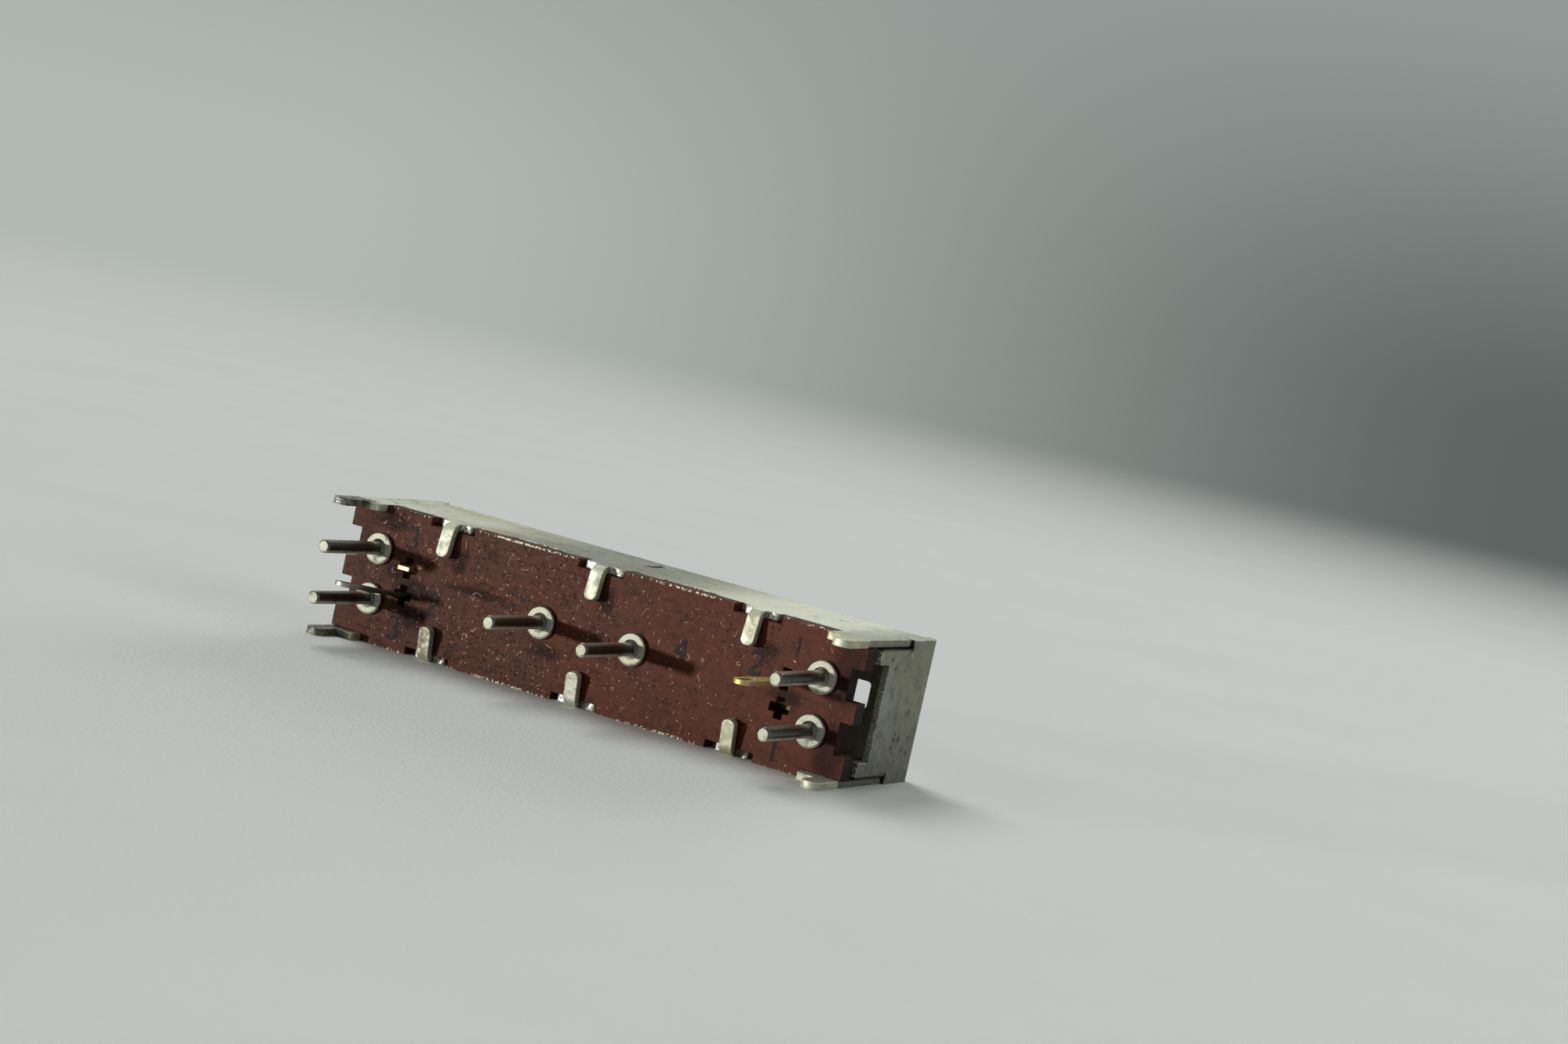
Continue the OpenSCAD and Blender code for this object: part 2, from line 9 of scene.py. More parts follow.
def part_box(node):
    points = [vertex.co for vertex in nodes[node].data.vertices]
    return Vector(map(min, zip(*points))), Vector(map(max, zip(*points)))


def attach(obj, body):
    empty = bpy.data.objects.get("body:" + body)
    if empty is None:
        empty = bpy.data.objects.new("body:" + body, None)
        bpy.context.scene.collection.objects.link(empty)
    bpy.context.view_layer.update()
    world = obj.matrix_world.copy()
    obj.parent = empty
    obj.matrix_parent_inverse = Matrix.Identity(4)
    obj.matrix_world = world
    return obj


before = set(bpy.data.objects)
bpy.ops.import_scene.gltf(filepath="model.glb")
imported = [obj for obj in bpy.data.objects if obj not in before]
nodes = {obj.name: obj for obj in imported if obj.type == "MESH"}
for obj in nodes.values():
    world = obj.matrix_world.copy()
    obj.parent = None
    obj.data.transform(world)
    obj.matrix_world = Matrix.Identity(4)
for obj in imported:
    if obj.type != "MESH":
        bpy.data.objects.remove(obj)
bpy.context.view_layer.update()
mm = 0.001
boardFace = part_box("terminal_board")[0].y  # outer face of the terminal board
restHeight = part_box("housing")[0].z  # the side wall that the case lies on


# sockets as numbers
class Wire:
    # one output socket; sums and products of wires add Math nodes
    def __init__(self, tree, socket):
        self.tree, self.socket = tree, socket

    def maths(self, operation, *terms):
        return self.tree.add("ShaderNodeMath", {"operation": operation}, dict(enumerate(terms)))

    def __add__(self, other):
        return self.maths("ADD", self, other)

    def __radd__(self, other):
        return self.maths("ADD", other, self)

    def __sub__(self, other):
        return self.maths("SUBTRACT", self, other)

    def __rsub__(self, other):
        return self.maths("SUBTRACT", other, self)

    def __mul__(self, other):
        return self.maths("MULTIPLY", self, other)

    def __rmul__(self, other):
        return self.maths("MULTIPLY", other, self)

    def __truediv__(self, other):
        return self.maths("DIVIDE", self, other)

    def __pow__(self, other):
        return self.maths("POWER", self, other)

    def __neg__(self):
        return self.maths("MULTIPLY", self, -1)

    def most(self, other):
        return self.maths("MAXIMUM", self, other)

    def least(self, other):
        return self.maths("MINIMUM", self, other)

    def size(self):
        return self.maths("ABSOLUTE", self)


class Tree:
    def __init__(self, owner):
        owner.use_nodes = True
        self.owner, self.nodeTree = owner, owner.node_tree
        self.nodeTree.nodes.clear()

    def add(self, kind, settings=None, sockets=None, out=0):
        node = self.nodeTree.nodes.new(kind)
        for name, value in (settings or {}).items():
            setattr(node, name, value)
        for name, value in (sockets or {}).items():
            self.feed(node.inputs[name], value)
        return Wire(self, node.outputs[out])

    def feed(self, socket, value):
        if isinstance(value, Wire):
            self.nodeTree.links.new(value.socket, socket)
        elif hasattr(value, "__len__") and socket.type == "RGBA":
            socket.default_value = (*value[:3], 1)
        else:
            socket.default_value = value

    # smooth 0 to 1 as a value goes from low to high
    def rise(self, value, low, high):
        return self.add("ShaderNodeMapRange", {"interpolation_type": "SMOOTHSTEP"},
                        {"Value": value, "From Min": low, "From Max": high})

    # share of the second colour over the first
    def tint(self, share, first, second):
        return self.add("ShaderNodeMix", {"data_type": "RGBA"}, {0: share, 6: first, 7: second}, out=2)

    # 1 for rays from the camera and for what metal and glass show, 0 for scattered light
    def seen(self):
        camera, glossy, clear = (self.add("ShaderNodeLightPath", out=n) for n in (0, 3, 6))
        return camera.most(glossy).most(clear)

    def vector(self, operation, first, second, out=0):
        return self.add("ShaderNodeVectorMath", {"operation": operation}, {0: first, 1: second}, out)

    def parts(self, vector):
        split = self.nodeTree.nodes.new("ShaderNodeSeparateXYZ")
        self.feed(split.inputs[0], vector)
        return [Wire(self, socket) for socket in split.outputs]


class Finish(Tree):
    # a material whose patterns read Object coordinates in millimetres
    def __init__(self, name):
        super().__init__(bpy.data.materials.new(name))
        self.shader = self.nodeTree.nodes.new("ShaderNodeBsdfPrincipled")
        self.result = self.nodeTree.nodes.new("ShaderNodeOutputMaterial")
        self.nodeTree.links.new(self.shader.outputs[0], self.result.inputs[0])
        place = self.add("ShaderNodeTexCoord", out=3)
        self.at = self.vector("MULTIPLY", place, (1 / mm,) * 3)
        self.x, self.y, self.z = self.parts(self.at)
        self.facing = self.add("ShaderNodeNewGeometry", out=1)
        self.nx, self.ny, self.nz = self.parts(self.facing)

    # coordinates squeezed, turned and shifted for one pattern
    def spread(self, scale=(1, 1, 1), turn=(0, 0, 0), shift=(0, 0, 0)):
        turned = tuple(math.radians(a) for a in turn)
        return self.add("ShaderNodeMapping", {"vector_type": "POINT"},
                        {"Vector": self.at, "Location": shift, "Rotation": turned, "Scale": scale})

    def cloud(self, pitch, detail=2.0, rough=0.5, warp=0.0, at=None):
        sockets = {"Vector": at or self.at, "Scale": 1 / pitch, "Detail": detail, "Roughness": rough,
                   "Distortion": warp}
        return self.add("ShaderNodeTexNoise", None, sockets)

    # several patterns named in a settings dictionary
    def clouds(self, look, *names):
        return [self.cloud(*look[name]) for name in names]

    # distance to the nearest of scattered points
    def cells(self, pitch, at=None):
        return self.add("ShaderNodeTexVoronoi", None, {"Vector": at or self.at, "Scale": 1 / pitch})

    # 1 inside a soft blot on the board plane, 0 outside; its rim wanders with a noise
    def blot(self, x, z, wide, high, wander, soft=0.5):
        away = ((self.x - x) / wide) ** 2 + ((self.z - z) / high) ** 2
        return 1 - self.rise(away ** 0.5 + wander, 1 - soft, 1 + soft)

    # normal with rounded edges, and a mask of those edges
    def roundEdges(self, radius, samples=6):
        soft = self.add("ShaderNodeBevel", {"samples": samples}, {"Radius": radius * mm})
        return soft, 1 - self.vector("DOT_PRODUCT", soft, self.facing, out=1)

    def bump(self, height, depth, normal=None):
        sockets = {"Strength": 1.0, "Distance": depth * mm, "Height": height}
        if normal:
            sockets["Normal"] = normal
        return self.add("ShaderNodeBump", None, sockets)

    def set(self, **sockets):
        names = {"colour": "Base Color", "rough": "Roughness", "metal": "Metallic", "normal": "Normal",
                 "shine": "Specular IOR Level", "glow": "Subsurface Weight",
                 "glowReach": "Subsurface Radius", "glowScale": "Subsurface Scale"}
        for name, value in sockets.items():
            self.feed(self.shader.inputs[names[name]], value)
        return self.owner


# finishes
# lengths are in millimetres; a pattern is its pitch, detail, roughness and warp; relief is the depth of the bump
tinLooks = {
    "bare": (0.58, 0.59, 0.49), "warm": (0.47, 0.46, 0.32), "dull": (0.30, 0.31, 0.25),
    "worn": (0.88, 0.88, 0.84), "grime": (0.050, 0.048, 0.040), "spot": (0.060, 0.050, 0.040),
    "olive": (0.25, 0.24, 0.15), "paintedReflection": (0.76, 0.77, 0.63), "filmAndShadeGrey": (0.15, 0.155, 0.125),
    "umber": (0.075, 0.072, 0.050), "seamShadeBlack": (0.012, 0.011, 0.010),
    "drift": (9, 3), "mottle": (1.3, 6, 0.62, 0.4), "fine": (0.11, 3, 0.6), "speck": (0.24, 3, 0.6),
    "blotch": (0.75, 4, 0.6, 0.5), "burr": (3.2, 2), "hairs": ((0.5, 2, 0.5), (0.6, 2, 0.5)),
    "spotField": (4.5, 2), "grimeField": (2.6, 5, 0.66, 0.6), "spotPitch": 1.15,
    "rough": 0.58, "relief": 0.020, "edge": 0.17,  # edge: radius of the rounded edges
    "past": (14.62, 14.72),  # depth from which tabs and legs stand past the board
    "cutEdge": (9, 11),  # depth from which the cut edge of the sheet shows
    "legs": (25.5, 26.5), "endWall": (27.9, 28.2),  # distances from the middle along the travel
    "corner": (23, 28.5), "patch": (4, 17), "paintedReflectionFrom": (5, 17),  # painted shade over the right corner, film patch, painted reflection on the right part
    "seam": (5.76, 6.09), "seamCorner": 0.22,  # where the walls part: depth, height from the middle; corner's radius
}


def tinPlate():
    f, look = Finish("dullTinPlate"), tinLooks
    soft, edges = f.roundEdges(look["edge"])
    drift, mottle, fine, speck, blotch = f.clouds(look, "drift", "mottle", "fine", "speck", "blotch")
    dull = f.rise(mottle, 0.48, 0.74)
    # tabs and legs stand past the board; the sheet's cut edge runs round it
    past = f.rise(-f.y, *look["past"])
    cutEdge = f.rise(-f.ny, 0.80, 0.95) * f.rise(-f.y, *look["cutEdge"]) * (1 - past)
    rub = f.rise(edges + 0.10 * (mottle - 0.5), 0.015, 0.10) * f.rise(fine, 0.38, 0.60)
    # burr left by the shear, in broken dots; along the cut edge the dots are painted bright as glints
    beads = f.rise(speck + 0.35 * (f.cloud(*look["burr"]) - 0.5), 0.47, 0.58)
    worn = (rub * (0.35 + 0.65 * beads)).most(cutEdge * beads)
    hairAlong = f.cloud(*look["hairs"][0], at=f.spread((0.10, 4, 4), (0, 4, 3)))
    hairAcross = f.cloud(*look["hairs"][1], at=f.spread((3, 3, 0.16), (0, 28, 0), (7, 3, 1)))
    scratch = f.rise(hairAlong, 0.66, 0.72).most(f.rise(hairAcross, 0.69, 0.74))
    spotSize = 0.09 + 0.30 * f.rise(f.cloud(*look["spotField"]), 0.52, 0.75)
    spots = 1 - f.rise(f.cells(look["spotPitch"]) + 0.12 * (fine - 0.5), spotSize * 0.6, spotSize)
    grime = f.rise(f.cloud(*look["grimeField"]), 0.58, 0.78)
    # film and painted shade: heavy on the end walls, partly painted shade there, and darker towards their bottom;
    # painted shade over their right corner; a broad film patch on the long walls
    endWalls, longWalls = f.rise(f.nx.size(), 0.7, 0.95), f.rise(f.nz.size(), 0.7, 0.95)
    longPatch = longWalls * (1 - f.rise((f.x + 2 + 8 * (drift - 0.5)).size(), *look["patch"]))
    # painted shade: the right end of the walls, over the corner, is darkened
    cornerShade = f.rise(f.x + 5 * (drift - 0.5) + 3 * (mottle - 0.5), *look["corner"]) * 0.55
    # end walls darkened, partly handling film and partly painted shade, more towards the bottom
    film = endWalls * (0.62 + 0.5 * (mottle - 0.5) + 0.3 * f.rise(-f.z, -2, 6))
    film = film.most(longPatch * 0.7).most(cornerShade) * (1 - past)
    # painted reflection: the long walls are tinted a bright tin towards the right end
    paintedReflection = longWalls * f.rise(f.x + 8 * (drift - 0.5), *look["paintedReflectionFrom"]) * (1 - past)
    # tabs and legs have gone olive in blotches, most at the left end, where the legs are dark
    legs, lefter = f.rise(f.x.size(), *look["legs"]), f.rise(-f.x, 2, 14)
    gone = past * (0.30 + 0.55 * lefter * legs.most(f.rise(-f.z, 2, 4))) * f.rise(blotch, 0.36, 0.62)
    umber = past * legs * lefter * (0.55 + 0.35 * f.rise(blotch, 0.34, 0.62))
    # painted shade: the open seams of the end walls are painted black; distance to the nearer seam line or to their
    # corner
    seamDeep, seamHigh = look["seam"]
    above, under, farOff = f.z.size() - seamHigh, f.y + seamDeep, 9
    alongSeam = above.size() + farOff * f.rise(under, 0.1, 0.5)
    acrossSeam = under.size() + farOff * f.rise(-above, -0.1, 0.3)
    corner = (above ** 2 + under ** 2) ** 0.5 - look["seamCorner"]
    paintedSeamShade = 1 - f.rise(alongSeam.least(acrossSeam).least(corner) + 0.16 * (mottle - 0.5), 0.10, 0.26)
    paintedSeamShade = paintedSeamShade * f.rise(f.x.size(), *look["endWall"]) * (1 - past)
    colour = f.tint(f.rise(drift, 0.38, 0.62), look["bare"], look["warm"])
    colour = f.tint(dull * (0.75 - 0.45 * past), colour, look["dull"])
    # painted reflection on the right part of the long walls
    colour = f.tint(paintedReflection * (0.85 - 0.35 * dull), colour, look["paintedReflection"])
    colour = f.tint(film, colour, look["filmAndShadeGrey"])
    colour = f.tint(gone, colour, look["olive"])
    colour = f.tint(umber, colour, look["umber"])
    colour = f.tint(grime * (0.60 - 0.35 * past), colour, look["grime"])
    rim = f.rise(edges, 0.01, 0.08).most(cutEdge) * (1 - past)
    colour = f.tint(rim * (1 - beads) * 0.6, colour, look["grime"])
    colour = f.tint(scratch * 0.45, colour, look["worn"])
    colour = f.tint(spots * (0.8 - 0.5 * past - 0.3 * endWalls), colour, look["spot"])
    # edge wear, with painted glints in dots along the cut edge
    colour = f.tint(worn * (0.9 - 0.8 * umber), colour, look["worn"])
    # painted shade in the open seams
    colour = f.tint(paintedSeamShade, colour, look["seamShadeBlack"])
    rough = look["rough"] + 0.16 * dull + 0.10 * (fine - 0.5) + 0.25 * spots - 0.10 * worn - 0.10 * scratch
    rough = rough + past * (0.10 + 0.5 * (blotch - 0.5))
    metal = 1 - 0.75 * spots.most(grime * 0.5).most(paintedSeamShade)
    height = 0.5 * fine + 0.8 * mottle - 0.5 * scratch - 0.7 * spots + 2.2 * past * blotch
    return f.set(colour=colour, rough=rough, metal=metal, normal=f.bump(height, look["relief"], soft))


boardLooks = {
    "red": (0.092, 0.024, 0.010), "brown": (0.073, 0.025, 0.013), "dark": (0.025, 0.010, 0.006),
    "stainAndShade": (0.010, 0.008, 0.007), "fleck": (0.34, 0.18, 0.11), "chip": (0.45, 0.22, 0.10),
    "cut": (0.15, 0.06, 0.035), "edgeGlint": (0.80, 0.74, 0.54),
    "drift": (7, 3, 0.55), "mottle": (0.9, 5, 0.68, 0.3), "fine": (0.09, 3, 0.65), "streak": (0.5, 3, 0.6),
    "stainRim": (2.4, 4, 0.6), "poreField": (3.4, 2), "porePitch": 0.48, "crowdField": (5.5, 2),
    "edgeGlintDots": (0.24, 2), "edgeGlintField": (3.0, 2),
    "rough": 0.60, "shine": 0.12, "relief": 0.034, "edge": 0.07,
    # flecks: heading in degrees, pitch, shift
    "lanes": ((25, 0.62, 0), (-40, 0.75, 3), (83, 0.68, 6)),
    # the chip and the dark stains: x, z, half width, half height; some stains are painted shade: the thin band right
    # of the left lug and the two at the right end
    "chipAt": (-20.15, 1.75, 0.42, 0.22),
    "stains": ((-24.2, 5.4, 2.0, 0.9), (-22.6, 0.9, 1.4, 0.8), (-20.2, -0.6, 2.0, 1.0), (-15.6, 3.4, 0.8, 1.3),
               (-19.6, -3.2, 1.6, 1.0), (-4.0, -2.6, 1.6, 0.7), (1.3, 3.6, 0.8, 1.4), (18.9, 3.4, 1.0, 0.8),
               (21.6, -0.2, 1.7, 0.8), (27.4, 3.4, 1.8, 3.2), (27.2, -4.2, 1.8, 2.4), (-12.5, 0.9, 3.4, 0.45)),
    "rightEnd": (24, 26), "window": 8.65, "windowReach": 4.4,  # distances from the middle along the travel
    "longEdge": (6.60, 6.76), "outerFace": (14.38, 14.48),  # height from the middle, depth under the panel face
}


def paperPhenolic():
    f, look = Finish("paperPhenolic"), boardLooks
    soft, edges = f.roundEdges(look["edge"])
    drift, mottle, fine = f.clouds(look, "drift", "mottle", "fine")
    outward = f.rise(-f.ny, 0.5, 0.9)
    # laminated paper: faint streaks along the board
    streak = f.cloud(*look["streak"], at=f.spread((0.14, 1, 1.6)))
    # the left half is browner and dirtier than the right
    left = f.rise(-f.x + 16 * (drift - 0.5), -9, 9)
    colour = f.tint((f.rise(drift, 0.36, 0.64) * 0.5 + 0.6 * left).least(1), look["red"], look["brown"])
    patchy = 0.65 * f.rise(mottle, 0.46, 0.72) + 0.50 * f.rise(streak, 0.48, 0.68) * (0.4 + 0.6 * left)
    colour = f.tint(patchy.least(0.9), colour, look["dark"])
    wander = 2.0 * (mottle - 0.5) + 1.8 * (f.cloud(*look["stainRim"]) - 0.5)
    # dark stains, some of them painted shade, as listed above
    stainsAndShadows = functools.reduce(Wire.most, [f.blot(*stainAndShade, wander) for stainAndShade in look["stains"]]) * outward
    colour = f.tint(stainsAndShadows * (0.25 + 0.9 * mottle).least(0.85), colour, look["stainAndShade"])
    poreSize = 0.10 + 0.26 * f.rise(f.cloud(*look["poreField"]) + 0.14 * left, 0.40, 0.72)
    pores = 1 - f.rise(f.cells(look["porePitch"]) + 0.20 * (fine - 0.5), poreSize * 0.5, poreSize)
    colour = f.tint(pores * 0.7, colour, look["stainAndShade"])
    # short pale fibres of the paper, in three directions
    crowd = 0.10 * f.rise(f.cloud(*look["crowdField"]) + 0.12 * left, 0.44, 0.70)
    lanes = [f.cells(pitch, f.spread((1, 1, 0.34), (0, turn, 0), (start, 0, start * 0.7)))
             for turn, pitch, start in look["lanes"]]
    flecks = [1 - f.rise(lane + 0.05 * (fine - 0.5), crowd * 0.8, crowd + 0.03) for lane in lanes]
    flecks = functools.reduce(Wire.most, flecks)
    colour = f.tint(flecks * f.rise(mottle, 0.30, 0.60) * 0.8, colour, look["fleck"])
    chip = f.blot(*look["chipAt"], 0.7 * (mottle - 0.5), 0.25) * outward
    colour = f.tint(chip * 0.85, colour, look["chip"])
    rubbed = f.rise(edges, 0.02, 0.12) * f.rise(mottle, 0.42, 0.60)
    colour = f.tint(rubbed * 0.6, colour, look["cut"])
    # painted shade: the right end is darkened down to its cut face
    endFaceShade = f.rise(f.nx, 0.5, 0.9) * f.rise(f.x, *look["rightEnd"])
    colour = f.tint(endFaceShade * (0.55 + 0.6 * mottle).least(0.9), colour, look["stainAndShade"])
    # painted glints: pale dots along the long edges, most by the windows
    windows = f.rise(look["windowReach"] - (f.x.size() - look["window"]).size(), 0, 2)
    edgeGlints = f.cloud(*look["edgeGlintDots"]) + 0.4 * (f.cloud(*look["edgeGlintField"]) - 0.5) + 0.10 * windows
    edgeGlints = f.rise(f.z.size(), *look["longEdge"]) * f.rise(edgeGlints, 0.58, 0.66)
    colour = f.tint(edgeGlints * f.rise(-f.y, *look["outerFace"]), colour, look["edgeGlint"])
    rough = look["rough"] + 0.22 * (mottle - 0.5) + 0.14 * stainsAndShadows + 0.12 * (fine - 0.5)
    height = 0.45 * fine + 0.7 * mottle + 0.5 * flecks - 0.9 * pores - 0.5 * chip + 0.25 * streak
    return f.set(colour=colour, rough=rough, shine=look["shine"], normal=f.bump(height, look["relief"], soft))


pinLooks = {
    "tin": (0.56, 0.56, 0.47), "pale": (0.34, 0.34, 0.25), "tarnishAndShade": (0.055, 0.052, 0.042),
    "bright": (0.88, 0.88, 0.84), "brass": (0.45, 0.36, 0.17),
    "mottle": (0.8, 5, 0.6, 0.3), "fine": (0.10, 3, 0.6), "drawn": (0.22, 3, 0.6), "brassField": (1.7, 3),
    "rough": 0.24, "relief": 0.018, "edge": 0.10,
}


def tinnedWire():
    f, look = Finish("tinnedWire"), pinLooks
    soft, edges = f.roundEdges(look["edge"])
    mottle, fine, brassField = f.clouds(look, "mottle", "fine", "brassField")
    drawn = f.cloud(*look["drawn"], at=f.spread((1, 0.05, 1)))  # drawing marks along the wire
    faces = f.rise(f.ny.size(), 0.75, 0.93)  # flange and pin ends
    # painted shade: a dark band along the barrel's side stands in for the dark board it reflects; the barrel is
    # lighter on top, and dull and pale below
    level = f.nz + 0.30 * (mottle - 0.5)
    shadedBand = (1 - faces) * f.rise(level, -0.62, -0.25) * (1 - f.rise(level, 0.62, 0.95))
    under = (1 - faces) * f.rise(-level, 0.30, 0.65)
    colour = f.tint(f.rise(mottle, 0.46, 0.72) * 0.5, look["tin"], look["tarnishAndShade"])
    # painted shade: the dark band along the barrel's side
    colour = f.tint(shadedBand * 0.85, colour, look["tarnishAndShade"])
    colour = f.tint(f.rise(drawn, 0.58, 0.72) * 0.35, colour, look["tarnishAndShade"])
    faceColour = f.tint(f.rise(mottle, 0.54, 0.72) * 0.8, look["pale"], look["tarnishAndShade"])
    colour = f.tint(faces * 0.85, colour, faceColour)
    colour = f.tint(f.rise(brassField, 0.60, 0.74) * 0.30, colour, look["brass"])
    glint = f.rise(edges, 0.03, 0.16) * f.rise(fine, 0.34, 0.56)
    colour = f.tint(glint * 0.8, colour, look["bright"])
    rough = look["rough"] + 0.12 * mottle + 0.08 * drawn + 0.28 * faces.most(under) - 0.04 * glint
    metal = 1 - 0.35 * faces - 0.70 * under
    height = (0.5 * fine + 0.6 * mottle + 0.5 * drawn) * (0.45 + 0.55 * faces)
    return f.set(colour=colour, rough=rough, metal=metal, normal=f.bump(height, look["relief"], soft))


brassLooks = {
    "brass": (0.60, 0.43, 0.14), "olive": (0.30, 0.24, 0.10), "tin": (0.40, 0.39, 0.34),
    "dark": (0.045, 0.040, 0.032), "bright": (0.95, 0.84, 0.50),
    "mottle": (0.7, 5, 0.62, 0.4), "fine": (0.09, 3, 0.6), "solder": (1.6, 4, 0.6), "stains": (1.1, 5, 0.66, 0.5),
    "rough": 0.34, "metal": 0.95, "relief": 0.02, "edge": 0.06,
    "past": (14.2, 14.9), "tip": (20.2, 21.6),  # depths under the panel face
}


# tinned and tarnished say how much of the part outside the board is soldered over and how dark it has gone
def lugBrass(name, tinned, tarnished):
    f, look = Finish(name), brassLooks
    soft, edges = f.roundEdges(look["edge"])
    mottle, fine, solder, stains = f.clouds(look, "mottle", "fine", "solder", "stains")
    outside = f.rise(-f.y, *look["past"])  # what stands past the board was dipped in solder
    tip = f.rise(-f.y + 1.5 * (mottle - 0.5), *look["tip"])
    colour = f.tint(f.rise(mottle, 0.42, 0.70) * 0.8, look["brass"], look["olive"])
    colour = f.tint(outside * f.rise(solder + tinned, 0.86, 1.10), colour, look["tin"])
    stained = f.rise(stains + tarnished, 0.56, 0.80) * (1 - 0.8 * tip)
    # painted shade: the tarnished strip's short tail, in its hole at the right end, is painted black
    holeShade = f.rise(tarnished * f.x, 3.0, 3.2)
    stained = stained.most(holeShade * 1.15)
    colour = f.tint(stained * 0.85, colour, look["dark"])
    glint = f.rise(edges, 0.03, 0.16) * f.rise(fine, 0.40, 0.60) * (1 - 0.6 * stained) * (1 - holeShade)
    colour = f.tint(glint, colour, look["bright"])
    rough = look["rough"] + 0.24 * mottle - 0.12 * glint
    normal = f.bump(fine + 0.8 * mottle, look["relief"], soft)
    return f.set(colour=colour, rough=rough, metal=look["metal"], normal=normal)


nylonLooks = {
    "ivory": (0.66, 0.60, 0.36), "aged": (0.58, 0.47, 0.20), "grime": (0.20, 0.15, 0.08), "scuff": (0.78, 0.74, 0.56),
    "drift": (6, 3), "mottle": (1.1, 5, 0.6, 0.3), "fine": (0.12, 3, 0.6), "stroke": (0.5, 3, 0.6),
    "rough": 0.40, "shine": 0.5, "relief": 0.02, "edge": 0.16,
    "glow": 0.28, "glowScale": 0.0012, "glowReach": (1.0, 0.75, 0.35),  # light inside the nylon, scale in metres
}


def agedNylon():
    f, look = Finish("agedNylon"), nylonLooks
    soft, edges = f.roundEdges(look["edge"])
    drift, mottle, fine = f.clouds(look, "drift", "mottle", "fine")
    stroke = f.cloud(*look["stroke"], at=f.spread((0.12, 3, 3)))  # rub marks along the travel
    colour = f.tint(f.rise(drift, 0.36, 0.66), look["ivory"], look["aged"])
    low = f.rise(-f.y, -6, 0)  # grease creeps up from the slot
    colour = f.tint(f.rise(mottle, 0.52, 0.74) * (0.18 + 0.5 * low), colour, look["grime"])
    rub = f.rise(edges, 0.02, 0.12) * f.rise(mottle, 0.40, 0.62)
    colour = f.tint(0.7 * rub + 0.3 * f.rise(stroke, 0.60, 0.72) * low, colour, look["scuff"])
    rough = look["rough"] + 0.20 * mottle + 0.10 * (fine - 0.5)
    height = 0.5 * fine + 0.7 * mottle + 0.4 * stroke * low
    return f.set(colour=colour, rough=rough, shine=look["shine"], glow=look["glow"], glowScale=look["glowScale"],
                 glowReach=look["glowReach"], normal=f.bump(height, look["relief"], soft))


# plain, stained and bright colour, roughness
springLooks = {
    "springBronze": ((0.60, 0.40, 0.22), (0.30, 0.17, 0.09), (0.85, 0.66, 0.44), 0.28),
    "blueSpringSteel": ((0.42, 0.43, 0.46), (0.20, 0.22, 0.30), (0.75, 0.76, 0.80), 0.30),
    "silverInk": ((0.62, 0.61, 0.57), (0.34, 0.32, 0.28), (0.74, 0.73, 0.70), 0.55),
}
rollingLooks = {"mottle": (0.9, 4, 0.6), "rolled": (0.12, 3, 0.6), "metal": 0.95, "relief": 0.006, "edge": 0.04,
                "edgeSamples": 4}


def rolledMetal(name):
    plain, stained, bright, roughness = springLooks[name]
    f, look = Finish(name), rollingLooks
    soft, edges = f.roundEdges(look["edge"], look["edgeSamples"])
    mottle, rolled = f.cloud(*look["mottle"]), f.cloud(*look["rolled"], at=f.spread((0.1, 1, 1)))
    colour = f.tint(f.rise(mottle, 0.45, 0.70), plain, stained)
    colour = f.tint(f.rise(edges, 0.03, 0.16) * 0.8, colour, bright)
    rough = roughness + 0.25 * (mottle - 0.5) + 0.12 * rolled
    normal = f.bump(rolled + mottle, look["relief"], soft)
    return f.set(colour=colour, rough=rough, metal=look["metal"], normal=normal)


carbonLooks = {"film": (0.018, 0.018, 0.019), "worn": (0.055, 0.054, 0.052), "grain": (0.05, 3, 0.6),
               "wear": (0.3, 3, 0.6), "rough": 0.62, "shine": 0.4, "relief": 0.006}


def carbonFilm():
    f, look = Finish("carbonFilm"), carbonLooks
    grain, wear = f.cloud(*look["grain"]), f.cloud(*look["wear"], at=f.spread((0.05, 1, 1)))
    worn = f.rise(wear, 0.50, 0.70)
    colour = f.tint(worn, look["film"], look["worn"])
    return f.set(colour=colour, rough=look["rough"] - 0.2 * worn, shine=look["shine"],
                 normal=f.bump(grain + wear, look["relief"]))


inkLooks = {"black": (0.016, 0.015, 0.015), "faded": (0.040, 0.028, 0.023), "board": (0.070, 0.029, 0.020),
            "mottle": (0.45, 5, 0.65, 0.3), "fine": (0.07, 3, 0.6), "rough": 0.62, "shine": 0.15, "relief": 0.012}


def markingInk():
    f, look = Finish("markingInk"), inkLooks
    mottle, fine = f.clouds(look, "mottle", "fine")
    colour = f.tint(f.rise(mottle, 0.46, 0.72), look["black"], look["faded"])
    colour = f.tint(f.rise(fine + 0.6 * mottle, 0.84, 0.98) * 0.8, colour, look["board"])
    return f.set(colour=colour, rough=look["rough"] + 0.2 * mottle, shine=look["shine"],
                 normal=f.bump(fine + mottle, look["relief"]))


paperLooks = {"brown": (0.11, 0.050, 0.034), "pale": (0.50, 0.31, 0.20), "fine": (0.06, 2), "rough": 0.70,
              "shine": 0.2, "relief": 0.008}


def paperFibre():
    f, look = Finish("paperFibre"), paperLooks
    shade = f.add("ShaderNodeAttribute", {"attribute_name": "fibreShade"}, out=2)
    fine = f.cloud(*look["fine"])
    return f.set(colour=f.tint(shade, look["brown"], look["pale"]), rough=look["rough"] + 0.15 * (fine - 0.5),
                 shine=look["shine"], normal=f.bump(fine, look["relief"]))


